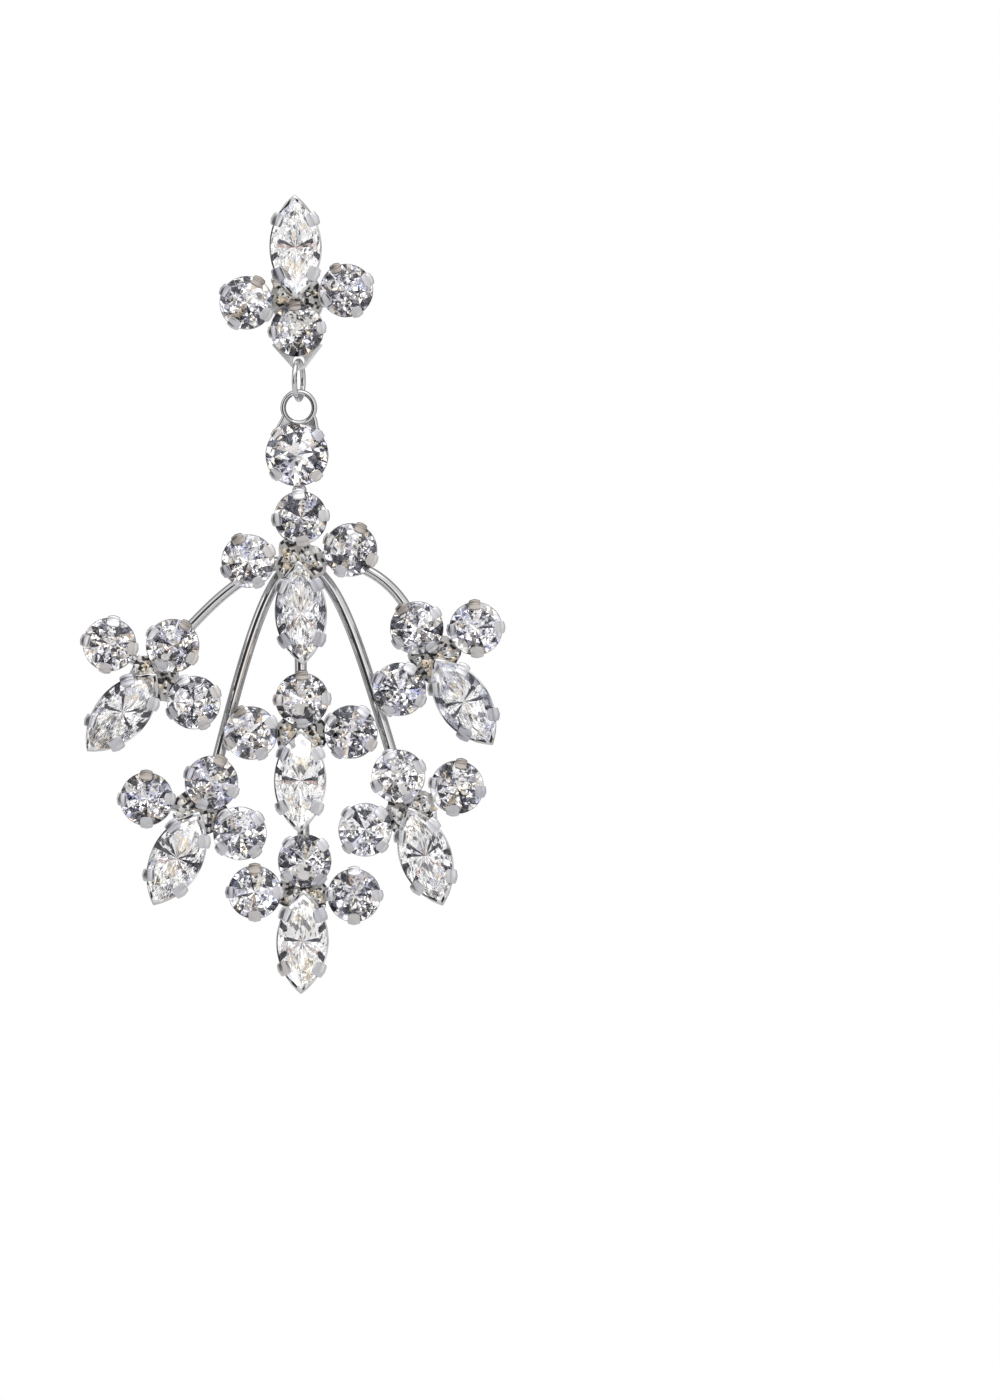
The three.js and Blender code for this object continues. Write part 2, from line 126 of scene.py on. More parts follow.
# Where the pointed plate takes a claw's place
PLATE_CLAW = ("stud_low_round", 3)

# The curved wires, with the directions and handle shares of their solids
WIRES = [
    {"to": "inner_left", "leave": -172, "out": 0.13, "arrive": -104, "back": 0.58},
    {"to": "inner_right", "leave": -13, "out": 0.18, "arrive": -73, "back": 0.56},
    {"to": "outer_left", "leave": 180, "out": 0.28, "arrive": -131, "back": 0.49},
    {"to": "outer_right", "leave": 8.7, "out": 0.4, "arrive": -68, "back": 0.43},
]

# Material slots of the metalwork and of the stones
POLISHED, SATIN, SOLDER = 0, 1, 2
CLEAR, FOIL = 0, 1

# Tones multiply a material's colour on single faces. Some are a part's own tint; those of the foil's
# facets, the solder, the claws at a round's top and the rings' lines are painted reflections
PLAIN = (1.0, 1.0, 1.0)
TAB_TONE = (0.9, 0.9, 0.92)
PLATE_TONE = (0.9, 0.91, 0.945)
# Near-black painted dark reflection on patches of the solder pool
SOLDER_PAINTED_DARK = (0.07, 0.065, 0.07)
# Dark line painted on a ring's inner slope as a reflection
PAINTED_REFLECTION_LINE_TONE = (0.36, 0.34, 0.33)

# How often a facet, a bit of solder or a claw has each tone
# Facet tones on the foil are painted reflections: white, tinted and dark facets, and a few coloured
# ones for fire
ROUND_FACET_PAINTED_REFLECTIONS = [
    (0.45, (0.98, 0.98, 0.98)),
    (0.18, (0.68, 0.68, 0.75)),
    (0.11, (0.82, 0.77, 0.70)),
    (0.24, (0.11, 0.115, 0.14)),
    (0.012, (0.84, 0.70, 0.54)),
    (0.015, (0.64, 0.68, 0.92)),
]
CULET_FAN_PAINTED_REFLECTIONS = [
    (0.70, (0.99, 0.99, 0.99)),
    (0.12, (0.74, 0.75, 0.84)),
    (0.08, (0.84, 0.78, 0.68)),
    (0.10, (0.14, 0.14, 0.16)),
]
NAVETTE_FACET_PAINTED_REFLECTIONS = [
    (0.48, (1.0, 1.0, 0.985)),
    (0.18, (0.72, 0.73, 0.78)),
    (0.19, (0.88, 0.81, 0.70)),
    (0.15, (0.34, 0.33, 0.34)),
]
# Painted reflections on the rays at a navette's waist, which paint its dark bow-tie
WAIST_RAY_PAINTED_REFLECTIONS = [
    (0.36, (0.07, 0.075, 0.09)),
    (0.14, (0.55, 0.56, 0.62)),
    (0.50, (1.0, 1.0, 1.0)),
]
INNER_RAY_PAINTED_REFLECTIONS = [
    (0.20, (0.12, 0.12, 0.14)),
    (0.12, (0.66, 0.56, 0.54)),
    (0.68, (1.0, 1.0, 1.0)),
]
# Tones of the solder bits: bright ones a little above the plain colour, and near-black and brown
# ones, which are painted dark and brown reflections
SOLDER_BIT_PAINTED_REFLECTIONS = [
    (0.62, (1.06, 1.06, 1.06)),
    (0.08, (0.08, 0.075, 0.08)),
    (0.30, (1.0, 0.87, 0.68)),
]
CLAW_TONES = [
    (0.68, PLAIN),
    (0.17, (1.0, 0.97, 0.92)),
    (0.15, (0.82, 0.82, 0.86)),
]
# Darker brown painted reflection on claws at a round's top
TOP_CLAW_PAINTED_REFLECTIONS = [
    (0.6, (0.50, 0.45, 0.40)),
    (0.4, PLAIN),
]
# A claw that points up more than this is one at a round's top, and often gets a darker brown tone, a
# painted reflection
TOP_CLAW = 0.8

# View
FRAME_HEIGHT = 163.8 * MM
CAMERA_DISTANCE = 1.2
CAMERA_X = 23.74 * MM
CAMERA_Z = -46.85 * MM
SENSOR = 36.0


# Shapes

WIRE_SIDES = 16
THICK_WIRE_SIDES = 24
BIT_ROWS = 7
BIT_COLUMNS = 12
BIT_STRETCH = (0.7, 1.2)
BIT_LOBES = 0.2
SHARP_ANGLE = 50
EDGE_SEGMENTS = 3


class Shape:
    """Points in millimetres and faces, each with a material slot and a tone that multiplies its
    colour: an own tint on some faces, a painted reflection on others.
    """

    def __init__(self):
        self.points = []
        self.faces = []
        self.slots = []
        self.smooth = []
        self.tones = []

    def face(self, corners, slot=0, smooth=True, tone=PLAIN):
        self.faces.append(corners)
        self.slots.append(slot)
        self.smooth.append(smooth)
        self.tones.append(tone)

    def add(self, points, faces, slot=0, tone=PLAIN):
        start = len(self.points)
        self.points.extend(tuple(p) for p in points)
        for corners in faces:
            self.face([start + i for i in corners], slot, True, tone)

    def build(self, name, materials, smooth_angle=None):
        mesh = bpy.data.meshes.new(name)
        mesh.from_pydata([(x * MM, y * MM, z * MM) for x, y, z in self.points], [], self.faces)
        for polygon, slot, smooth in zip(mesh.polygons, self.slots, self.smooth):
            polygon.material_index = slot
            polygon.use_smooth = smooth
        for material in materials:
            mesh.materials.append(material)
        work = bmesh.new()
        work.from_mesh(mesh)
        bmesh.ops.recalc_face_normals(work, faces=work.faces)
        work.to_mesh(mesh)
        work.free()
        if smooth_angle is not None:
            mesh.set_sharp_from_angle(angle=math.radians(smooth_angle))
        tones = mesh.attributes.new("tone", "FLOAT_COLOR", "FACE")
        for value, tone in zip(tones.data, self.tones):
            value.color = (*tone, 1.0)
        mesh.update()
        result = bpy.data.objects.new(name, mesh)
        bpy.context.collection.objects.link(result)
        return result


def direction(degrees):
    angle = math.radians(degrees)
    return math.cos(angle), math.sin(angle)


def polar(start, distance, degrees):
    c, s = direction(degrees)
    return start[0] + distance * c, start[1] + distance * s


def full_turn(count):
    """Evenly spaced angles all round."""
    return [2 * math.pi * i / count for i in range(count)]


def rings(shape, loops, slot=0, tone=PLAIN, closed=False):
    """Joins loops of equal length with quads. The last joins the first if closed."""
    count = len(loops[0])
    points = [p for loop in loops for p in loop]
    faces = []
    spans = len(loops) if closed else len(loops) - 1
    for i in range(spans):
        a = i * count
        b = ((i + 1) % len(loops)) * count
        for j in range(count):
            k = (j + 1) % count
            faces.append([a + j, a + k, b + k, b + j])
    if not closed:
        faces.append(list(range(count)))
        faces.append([(len(loops) - 1) * count + j for j in range(count)])
    shape.add(points, faces, slot, tone)


def tube(shape, path, radius, sides=WIRE_SIDES, closed=False):
    """A round polished wire along a path of points."""
    points = [Vector(p) for p in path]
    count = len(points)
    side = None
    loops = []
    for i, point in enumerate(points):
        if closed:
            along = points[(i + 1) % count] - points[i - 1]
        else:
            along = points[min(i + 1, count - 1)] - points[max(i - 1, 0)]
        along.normalize()
        if side is None:
            side = along.orthogonal().normalized()
        side = (side - along * side.dot(along)).normalized()
        other = along.cross(side)
        loop = []
        for angle in full_turn(sides):
            loop.append(point + (side * math.cos(angle) + other * math.sin(angle)) * radius)
        loops.append(loop)
    rings(shape, loops, POLISHED, closed=closed)


def blob(shape, centre, size, rng, slot=0, tone=PLAIN, flatness=1.0):
    """A small lump of solder."""
    stretch = [size * rng.uniform(*BIT_STRETCH) for _ in range(3)]
    stretch[1] *= flatness
    start = rng.uniform(0, 2 * math.pi)
    loops = []
    for i in range(BIT_ROWS):
        down = math.pi * (i + 0.5) / BIT_ROWS
        loop = []
        for angle in full_turn(BIT_COLUMNS):
            lobe = BIT_LOBES * math.sin(3 * angle + start) * math.sin(down)
            lump = math.sin(down) * (1 + lobe)
            loop.append((
                centre[0] + stretch[0] * lump * math.cos(angle),
                centre[1] + stretch[1] * math.cos(down),
                centre[2] + stretch[2] * lump * math.sin(angle),
            ))
        loops.append(loop)
    rings(shape, loops, slot, tone)


def turned(shape, rows, centre, sides):
    """A polished body turned about a line along Y, from rows of radius and y."""
    loops = []
    for radius, y in rows:
        loops.append([
            (centre[0] + radius * math.cos(a), y, centre[1] + radius * math.sin(a))
            for a in full_turn(sides)
        ])
    rings(shape, loops, POLISHED)


def softened(points, faces, width):
    """The same body with its sharp edges rounded off."""
    work = bmesh.new()
    corners = [work.verts.new(p) for p in points]
    for face in faces:
        work.faces.new([corners[i] for i in face])
    bmesh.ops.recalc_face_normals(work, faces=work.faces)
    sharp = [edge for edge in work.edges if edge.calc_face_angle(0) > math.radians(SHARP_ANGLE)]
    bmesh.ops.bevel(
        work, geom=sharp, offset=width, segments=EDGE_SEGMENTS, profile=0.5, affect="EDGES"
    )
    work.verts.index_update()
    result = [tuple(v.co) for v in work.verts], [[v.index for v in f.verts] for f in work.faces]
    work.free()
    return result


# Seats: what a stone and its setting share, read from the stone's solid

class Seat:
    def __init__(self, name, aim=None, claw=0):
        low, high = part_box(f"{name}_stone")
        self.name = name
        self.aim = aim
        self.centre = ((low[0] + high[0]) / 2 / MM, (low[2] + high[2]) / 2 / MM)
        self.girdle_y = low[1] / MM + GIRDLE / 2 + CROWN_HEIGHT
        self.is_navette = aim is not None
        if self.is_navette:
            self.half_length = NAVETTE_LENGTH / 2
            self.half_width = NAVETTE_WIDTH / 2
            self.depth = SETTING_DEPTH + NAVETTE_LIFT
            square = self.half_length ** 2 + self.half_width ** 2
            self.arc = square / (2 * self.half_width)
            self.sweep = math.asin(self.half_length / self.arc)
            self.stone_share = NAVETTE_STONE
            self.table = NAVETTE_TABLE
        else:
            self.half_length = self.half_width = (high[0] - low[0]) / 2 / MM
            self.depth = SETTING_DEPTH
            self.stone_share = 1.0
            self.table = ROUND_TABLE
        self.claws = list(self._claws(claw))

    def _claws(self, start):
        """Each claw's edge point, outward direction and turn round the outline."""
        if not self.is_navette:
            for step in range(4):
                outward = start + 90 * step
                yield polar((0, 0), self.half_width, outward), outward
            return
        for side in (90, -90):
            for end in (1, -1):
                outward = self.aim + side + NAVETTE_CLAW_ANGLE * end
                middle = polar((0, 0), -(self.arc - self.half_width), self.aim + side)
                yield polar(middle, self.arc, outward), outward

    def outline(self, turn):
        """The girdle's point at a turn in radians. A navette's tips are at 0 and pi."""
        if not self.is_navette:
            return self.half_width * math.cos(turn), self.half_width * math.sin(turn)
        turn %= 2 * math.pi
        side = 1 if turn < math.pi else -1
        across = turn if side == 1 else 2 * math.pi - turn
        swept = self.sweep * (1 - 2 * across / math.pi)
        along = self.arc * math.sin(swept)
        out = side * (self.arc * math.cos(swept) - (self.arc - self.half_width))
        c, s = direction(self.aim)
        return along * c - out * s, along * s + out * c

    def outness(self, x, z):
        """How far out a point lies in the front view: 1 on the girdle's outline."""
        u = x - self.centre[0]
        v = z - self.centre[1]
        square = max(u * u + v * v, 1e-9)
        if not self.is_navette:
            return math.sqrt(square) / self.half_width
        c, s = direction(self.aim)
        across = abs(v * c - u * s)
        offset = self.arc - self.half_width
        reach = across ** 2 * offset ** 2 + square * (self.arc ** 2 - offset ** 2)
        return square / (math.sqrt(reach) - across * offset)

    def place(self, u, v, h):
        return self.centre[0] + u, self.girdle_y - h, self.centre[1] + v

    def at(self, turn, share, h):
        u, v = self.outline(turn)
        return self.place(u * share, v * share, h)

    def back_y(self):
        return self.girdle_y + self.depth


def crown(shape, seat, phase):
    """Adds the clear facets. The 32 points round the girdle's back edge come last."""
    star = NAVETTE_STAR if seat.is_navette else ROUND_STAR
    half = GIRDLE / 2
    eighth = math.pi / 4
    stone = seat.stone_share
    star_height = half + CROWN_HEIGHT * (1 - star * math.cos(eighth / 2)) / (1 - seat.table)
    table_height = half + CROWN_HEIGHT
    points = [seat.at(phase + i * eighth, seat.table * stone, table_height) for i in range(8)]
    points += [seat.at(phase + (i + 0.5) * eighth, star * stone, star_height) for i in range(8)]
    for sign in (1, -1):
        for j in range(GIRDLE_POINTS):
            sag = GIRDLE_SAG if j % 2 else 0
            points.append(seat.at(phase + j * eighth / 4, stone, sign * (half - sag)))
    first_star, top, bottom = 8, 16, 16 + GIRDLE_POINTS
    shape.points.extend(points)
    shape.face(list(range(8)), CLEAR, False)
    for i in range(8):
        nxt = (i + 1) % 8
        before = (i - 1) % 8
        quarter = [top + 4 * i + k for k in range(4)] + [top + (4 * i + 4) % GIRDLE_POINTS]
        shape.face([i, nxt, first_star + i], CLEAR, False)
        shape.face([i, first_star + before, quarter[0], first_star + i], CLEAR, False)
        shape.face([first_star + i] + quarter[:3], CLEAR, False)
        shape.face([first_star + i] + quarter[2:], CLEAR, False)
    for j in range(GIRDLE_POINTS):
        k = (j + 1) % GIRDLE_POINTS
        shape.face([top + j, top + k, bottom + k, bottom + j], CLEAR, False)
    return bottom


def round_pavilion(shape, seat, phase, bottom, rng):
    """Mirrored facets in rows, each with a painted reflection tone: a fan from the culet, halves and
    a fine row at the girdle.
    """
    rows = []
    for count, share in ((8, LOWER_ROW), (16, MIDDLE_ROW)):
        rows.append(len(shape.points))
        height = -GIRDLE / 2 - PAVILION_DEPTH * (1 - share * math.cos(math.pi / 16))
        start = phase + (math.pi / 8 if count == 8 else 0)
        for i in range(count):
            jitter = rng.uniform(-CUT_JITTER, CUT_JITTER)
            turn = start + 2 * math.pi * i / count
            shape.points.append(seat.at(turn, share * seat.stone_share, height + jitter))
    lower, middle = rows
    culet = len(shape.points)
    shape.points.append(seat.at(0, 0, -GIRDLE / 2 - PAVILION_DEPTH))
    for i in range(8):
        before = (i - 1) % 8
        outer = [middle + (2 * i + k) % 16 for k in range(3)]
        for corners in ((culet, lower + i, outer[0]), (culet, outer[0], lower + before)):
            shape.face(list(corners), FOIL, False, pick_tone(CULET_FAN_PAINTED_REFLECTIONS, rng))
        for corners in ((lower + i, outer[0], outer[1]), (lower + i, outer[1], outer[2])):
            shape.face(list(corners), FOIL, False, pick_tone(ROUND_FACET_PAINTED_REFLECTIONS, rng))
    for i in range(16):
        here = middle + i
        nxt = middle + (i + 1) % 16
        edge = [bottom + (2 * i + k) % GIRDLE_POINTS for k in range(3)]
        for corners in ((here, edge[0], edge[1]), (here, edge[1], nxt), (nxt, edge[1], edge[2])):
            shape.face(list(corners), FOIL, False, pick_tone(ROUND_FACET_PAINTED_REFLECTIONS, rng))


def boat_pavilion(shape, seat, bottom, rng):
    """Mirrored facets with painted reflection tones: rays from the culet to the waist, and chevrons
    round each tip.
    """
    rows = []
    for share in NAVETTE_ROWS:
        rows.append([len(shape.points) + j for j in range(GIRDLE_POINTS)])
        for turn in full_turn(GIRDLE_POINTS):
            height = -GIRDLE / 2 - PAVILION_DEPTH * (1 - share)
            height += rng.uniform(-NAVETTE_JITTER, NAVETTE_JITTER)
            shape.points.append(seat.at(turn, share * seat.stone_share, height))
    rows.append([bottom + j for j in range(GIRDLE_POINTS)])
    culet = len(shape.points)
    shape.points.append(seat.at(0, 0, -GIRDLE / 2 - PAVILION_DEPTH))
    rays = pick_painted_rays(WAIST_RAY_PAINTED_REFLECTIONS, rng)
    inner_rays = pick_painted_rays(INNER_RAY_PAINTED_REFLECTIONS, rng)
    painted_bands = {}
    for end in (0, 1):
        for row in range(len(rows)):
            painted_bands[end, row] = pick_tone(NAVETTE_FACET_PAINTED_REFLECTIONS, rng)
    for j in range(GIRDLE_POINTS):
        k = (j + 1) % GIRDLE_POINTS
        mirrored = min(j, GIRDLE_POINTS - 1 - j)
        at_waist = RAY_FIRST <= mirrored <= RAY_LAST
        end = 0 if mirrored < GIRDLE_POINTS // 4 else 1
        shape.face([culet, rows[0][j], rows[0][k]], FOIL, False, inner_rays[mirrored])
        for row in range(len(rows) - 1):
            if at_waist:
                tone = rays[mirrored] if row >= RAY_START else inner_rays[mirrored]
            elif rng.random() < STRAY_FACETS:
                tone = pick_tone(NAVETTE_FACET_PAINTED_REFLECTIONS, rng)
            else:
                tone = painted_bands[end, row]
            corners = [rows[row][j], rows[row + 1][j], rows[row + 1][k], rows[row][k]]
            shape.face(corners[:3], FOIL, False, tone)
            shape.face([corners[0], *corners[2:]], FOIL, False, tone)


def cut_stone(seat, materials, seed):
    """A closed stone: clear crown and girdle in front of a mirrored pavilion."""
    rng = random.Random(seed)
    shape = Shape()
    phase = 0 if seat.is_navette else rng.uniform(0, math.pi / 4)
    bottom = crown(shape, seat, phase)
    if seat.is_navette:
        boat_pavilion(shape, seat, bottom, rng)
    else:
        round_pavilion(shape, seat, phase, bottom, rng)
    return shape.build(f"{seat.name}_crystal", materials)


def pick_tone(tones, rng):
    pick = rng.random() * sum(share for share, _ in tones)
    for share, tone in tones:
        pick -= share
        if pick <= 0:
            return tone
    return tones[0][1]


def pick_painted_rays(tones, rng):
    """A painted reflection tone for each ray on a side, with no two dark ones next to each other."""
    rays = []
    for _ in range(GIRDLE_POINTS // 2):
        tone = pick_tone(tones, rng)
        if rays and max(tone) < DARK_PAINTED_RAY and max(rays[-1]) < DARK_PAINTED_RAY:
            tone = PLAIN
        rays.append(tone)
    return rays


# Settings

CUP_SIDES = 64
CUP_WALL = 0.24
CUP_HOLE = 0.2
STONE_GAP = 0.012
SCALLOP = 0.38
TIP_RISE = 0.6
TIP_SPREAD = math.radians(26)
TIP_OVERLAP = 0.06


def wall_top(seat, turn, claw_turn):
    """The height of a cup's edge: high under the claws, low between, and round a tip a rim."""
    base = -GIRDLE / 2 - STONE_CLEARANCE
    if not seat.is_navette:
        return base - SCALLOP * (0.5 - 0.5 * math.cos(4 * (turn - claw_turn)))
    waist = 0.5 - 0.5 * math.cos(2 * turn)
    return base + TIP_RISE * tip_share(seat, turn) - SCALLOP * waist ** 3


def tip_share(seat, turn):
    """How much of a navette's tip cap there is at a turn."""
    if not seat.is_navette:
        return 0.0
    to_tip = abs(math.remainder(turn, math.pi))
    return math.exp(-((to_tip / TIP_SPREAD) ** 4))


def cup(shape, seat):
    """A stamped cup with a small hole under the stone."""
    claw_turn = math.radians(seat.claws[0][1])
    rim = 1 + RIM / seat.half_width
    inner = seat.stone_share + STONE_GAP
    seat_edge = rim - CUP_WALL / seat.half_width
    under_girdle = -GIRDLE / 2 - STONE_CLEARANCE
    foot = -seat.depth
    columns = []
    for turn in full_turn(CUP_SIDES):
        top = wall_top(seat, turn, claw_turn)
        cap = tip_share(seat, turn)
        # Share of the outline and height: up the outside, over the edge and down the inside
        rows = [
            (CUP_HOLE, foot),
            (FOOT_SHARE - 0.05, foot),
            (FOOT_SHARE, foot + 0.12),
            (rim * 0.965, min(top, under_girdle) - 0.22),
            (rim, top - 0.05 - 0.15 * cap),
            (rim - 0.008 - 0.005 * cap, top - 0.04 * cap),
            (inner + (rim - inner) * 0.5 - TIP_OVERLAP * 0.4 * cap, top + 0.04 * cap),
            (inner - TIP_OVERLAP * cap, top - 0.03 * cap),
            (inner - TIP_OVERLAP * cap, top - 0.15 * cap - 0.002),
            (inner - 0.004, min(top, under_girdle) - 0.01),
            (seat_edge, min(top, under_girdle) - 0.02),
            (CUP_HOLE, foot + 0.3),
        ]
        columns.append([seat.at(turn, share, height) for share, height in rows])
    rings(shape, [list(loop) for loop in zip(*columns)], POLISHED, closed=True)


# The lower part of a claw's middle line, as distance out from the girdle's edge and height
CLAW_STEM = [(-0.46, -1.45), (-0.2, -0.95), (0.02, -0.5), (0.16, -0.15), (0.235, 0.12), (0.2, 0.27)]
CLAW_TAB = [0.1, 0.33, 0.56, 0.8]
CLAW_SECTION_SIDES = 12
CLAW_PATH_STEPS = 3
CLAW_TURN_SPREAD = 4
CLAW_WIDTH_SPREAD = (0.92, 1.06)
CLAW_REACH_SPREAD = (0.85, 1.1)
CLAW_REST = 0.75
CLAW_TIP_THINNING = 0.4
# Powers that square off a claw's section, across its width and its thickness
CLAW_SQUARE = (0.35, 0.5)
# A claw bows from this far out from the girdle's edge, and fully this much further out
BOW_START = -0.35
BOW_RAMP = 0.4


def squared(value, power):
    return math.copysign(abs(value) ** power, value)


def claw(shape, seat, edge, outward, rng):
    """A flat tab with rounded corners, folded over the crown."""
    c, s = direction(outward + rng.uniform(-CLAW_TURN_SPREAD, CLAW_TURN_SPREAD))
    kind = NAVETTE_CLAW if seat.is_navette else ROUND_CLAW
    width = kind["width"] * rng.uniform(*CLAW_WIDTH_SPREAD)
    reach = kind["reach"] * rng.uniform(*CLAW_REACH_SPREAD)
    slope = CROWN_HEIGHT / ((1 - seat.table) * seat.half_width)
    rest = GIRDLE / 2 + CLAW_THICKNESS * CLAW_REST
    stem = [(out * kind["stand"] if out > 0 else out, up) for out, up in CLAW_STEM]
    most = GIRDLE / 2 + CROWN_HEIGHT - CLAW_THICKNESS / 2
    tab = [(-out * reach, min(rest + slope * out * reach, most)) for out in CLAW_TAB]
    path = smooth_path(stem + tab, CLAW_PATH_STEPS)
    lengths = [0.0]
    for before, after in zip(path, path[1:]):
        lengths.append(lengths[-1] + (after - before).length)
    loops = []
    last = len(path) - 1
    for i, (out, up) in enumerate(path):
        step = (path[min(i + 1, last)] - path[max(i - 1, 0)]).normalized()
        normal = Vector((step[1], -step[0]))
        to_end = min((lengths[-1] - lengths[i]) / CLAW_CORNER, 1.0)
        corner = 1 - math.sqrt(max(0.0, 1 - (1 - to_end) ** 2))
        half_width = width / 2 - CLAW_CORNER * corner
        half_thick = CLAW_THICKNESS / 2 * (1 - CLAW_TIP_THINNING * corner)
        bow = CLAW_BOW * min(max((out - BOW_START) / BOW_RAMP, 0.0), 1.0)
        loop = []
        for angle in full_turn(CLAW_SECTION_SIDES):
            a = squared(math.cos(angle), CLAW_SQUARE[0]) * half_width
            b = squared(math.sin(angle), CLAW_SQUARE[1]) * half_thick
            radial = out + b * normal[0] - bow * (2 * a / width) ** 2
            height = up + b * normal[1]
            u = edge[0] + radial * c - a * s
            v = edge[1] + radial * s + a * c
            loop.append(seat.place(u, v, height))
        loops.append(loop)
    # Claws at a round's top often get a darker brown tone, a painted reflection; the others a random
    # own tint
    at_top = not seat.is_navette and s > TOP_CLAW
    rings(shape, loops, SATIN, pick_tone(TOP_CLAW_PAINTED_REFLECTIONS if at_top else CLAW_TONES, rng))


def smooth_path(points, steps):
    """Points along a Catmull-Rom curve."""
    result = []
    last = len(points) - 1
    for i in range(last):
        p0 = Vector(points[max(i - 1, 0)])
        p1 = Vector(points[i])
        p2 = Vector(points[i + 1])
        p3 = Vector(points[min(i + 2, last)])
        for k in range(steps):
            t = k / steps
            result.append(
                0.5 * (2 * p1 + (p2 - p0) * t + (2 * p0 - 5 * p1 + 4 * p2 - p3) * t * t
                       + (3 * p1 - p0 - 3 * p2 + p3) * t ** 3)
            )
    result.append(Vector(points[last]))
    return result


def setting(shape, seat, seed):
    rng = random.Random(seed)
    cup(shape, seat)
    for number, (edge, outward) in enumerate(seat.claws):
        if (seat.name, number) != PLATE_CLAW:
            claw(shape, seat, edge, outward, rng)


BED_RADIUS = 2.9
BED_DEPTH = 0.95
BED_RELIEF = 0.5
BED_COLUMNS = 40
BED_SHARES = (0.04, 0.16, 0.28, 0.4, 0.52, 0.64, 0.76, 0.88, 1.0)
BED_RAGGED = (0.1, 0.06)
BED_UNDER = 0.3
BED_DIP = 0.35
BED_GRAIN = 1.7
BED_SEED_STEP = 9.7
# Noise grain, seed and threshold of the painted dark reflection patches on the solder pool
PAINTED_DARK_GRAIN = 2.1
PAINTED_DARK_SEED = 31
PAINTED_DARK_BELOW = -0.06
BITS = 38
BIT_FLATNESS = 0.45
BIT_SIZE = (0.26, 0.52)
BIT_DEPTH = (-0.5, 0.3)
BIT_REACH = (0.3, 3.1)
BIT_CLEARANCE = 0.05
STRUT_REACH = 0.75
# The drum behind a hub: share of its radius, and y from the back
DRUM = ((0.01, 0.0), (0.85, 0.0), (1.0, -0.12), (1.0, -1.1), (0.8, -1.3), (0.01, -1.3))
DRUM_SIDES = 24


def solder_bed(shape, hub, y, back, seed):
    """A lumpy pool of solder that fills the middle of a cluster, with patches of painted dark
    reflection.
    """
    loops = []
    for share in BED_SHARES:
        loop = []
        for angle in full_turn(BED_COLUMNS):
            ragged = 1 + BED_RAGGED[0] * math.sin(3 * angle + seed)
            ragged += BED_RAGGED[1] * math.sin(7 * angle + 2 * seed)
            x, z = polar(hub, BED_RADIUS * share * ragged, math.degrees(angle))
            spot = Vector((BED_GRAIN * x, BED_GRAIN * z, BED_SEED_STEP * seed))
            lump = BED_RELIEF * noise.noise(spot)
            loop.append((x, y + lump + BED_DIP * share ** 6, z))
        loops.append(loop)
    loops.append([(x, back - BED_UNDER, z) for x, _, z in loops[-1]])
    start = len(shape.faces)
    rings(shape, loops, SOLDER)
    # Faces where a noise falls low get a near-black tone: painted dark reflection
    for i in range(start, start + (len(BED_SHARES) - 1) * BED_COLUMNS):
        x, _, z = shape.points[shape.faces[i][0]]
        spot = Vector((PAINTED_DARK_GRAIN * x, PAINTED_DARK_GRAIN * z, PAINTED_DARK_SEED + seed))
        if noise.noise(spot) < PAINTED_DARK_BELOW:
            shape.tones[i] = SOLDER_PAINTED_DARK


def clears(group, x, z, depth, size):
    """Whether a lump behind the girdles stays out of every stone."""
    for seat in group:
        behind = depth + (NAVETTE_LIFT if seat.is_navette else 0)
        share = max(0.0, 1 - (behind - size) / PAVILION_DEPTH)
        if (seat.outness(x, z) - share) * seat.half_width < size + BIT_CLEARANCE:
            return False
    return True


def cluster_solder(shape, group, hub, seed):
    """Struts, the drum at the hub and the solder between the settings."""
    rng = random.Random(seed)
    back = group[0].back_y()
    front = group[0].girdle_y
    y = back - STRUT_DIAMETER / 2
    drum = [(share * HUB_DIAMETER / 2, back + depth) for share, depth in DRUM]
    turned(shape, drum, hub, DRUM_SIDES)
    for seat in group:
        way = math.degrees(math.atan2(seat.centre[1] - hub[1], seat.centre[0] - hub[0]))
        end = polar(seat.centre, -FOOT_SHARE * seat.half_width * STRUT_REACH, way)
        tube(shape, [(hub[0], y, hub[1]), (end[0], y, end[1])], STRUT_DIAMETER / 2)
    solder_bed(shape, hub, front + BED_DEPTH, back, seed)
    placed = 0
    while placed < BITS:
        size = rng.uniform(*BIT_SIZE)
        depth = rng.uniform(*BIT_DEPTH)
        x, z = polar(hub, rng.uniform(*BIT_REACH), rng.uniform(0, 360))
        if clears(group, x, z, depth, size):
            slot = SOLDER if placed % 2 else POLISHED
            # Each bit's tone is plain bright, a painted dark reflection or a painted brown
            # reflection
            tone = pick_tone(SOLDER_BIT_PAINTED_REFLECTIONS, rng)
            blob(shape, (x, front + depth, z), size, rng, slot, tone, BIT_FLATNESS)
            placed += 1


# Materials

# Noise scales, to a metre
TONE_SCALE = 420.0
WEAR_SCALE = 1500.0
SCRATCH_SCALE = 5200.0
STREAK_SCALE = 260.0
HAZE_SCALE = 600.0
TONE_DETAIL = 3.0
WEAR_DETAIL = 4.0
SCRATCH_DEPTH = 0.02 * MM
TONE_SPAN = (0.35, 0.62)
GLASS_IOR = 1.5
GLASS_COOL = (0.95, 0.96, 1.0)
GLASS_WARM = (1.0, 0.985, 0.95)
ROUND_FOIL_ROUGHNESS = 0.02
NAVETTE_FOIL_ROUGHNESS = 0.11
# Painted glow: for rays this deep the foil turns black and glows in the tone of the facet that the
# ray meets, though it is no lamp
DEEP_BOUNCE = 3.5
DEEP_PAINTED_GLOW = 2.1
DEEP_CONTRAST = 1.5
HAZE_LOW = 0.88


def new_material(name):
    material = bpy.data.materials.new(name)
    material.use_nodes = True
    tree = material.node_tree
    return material, tree, tree.nodes["Principled BSDF"]


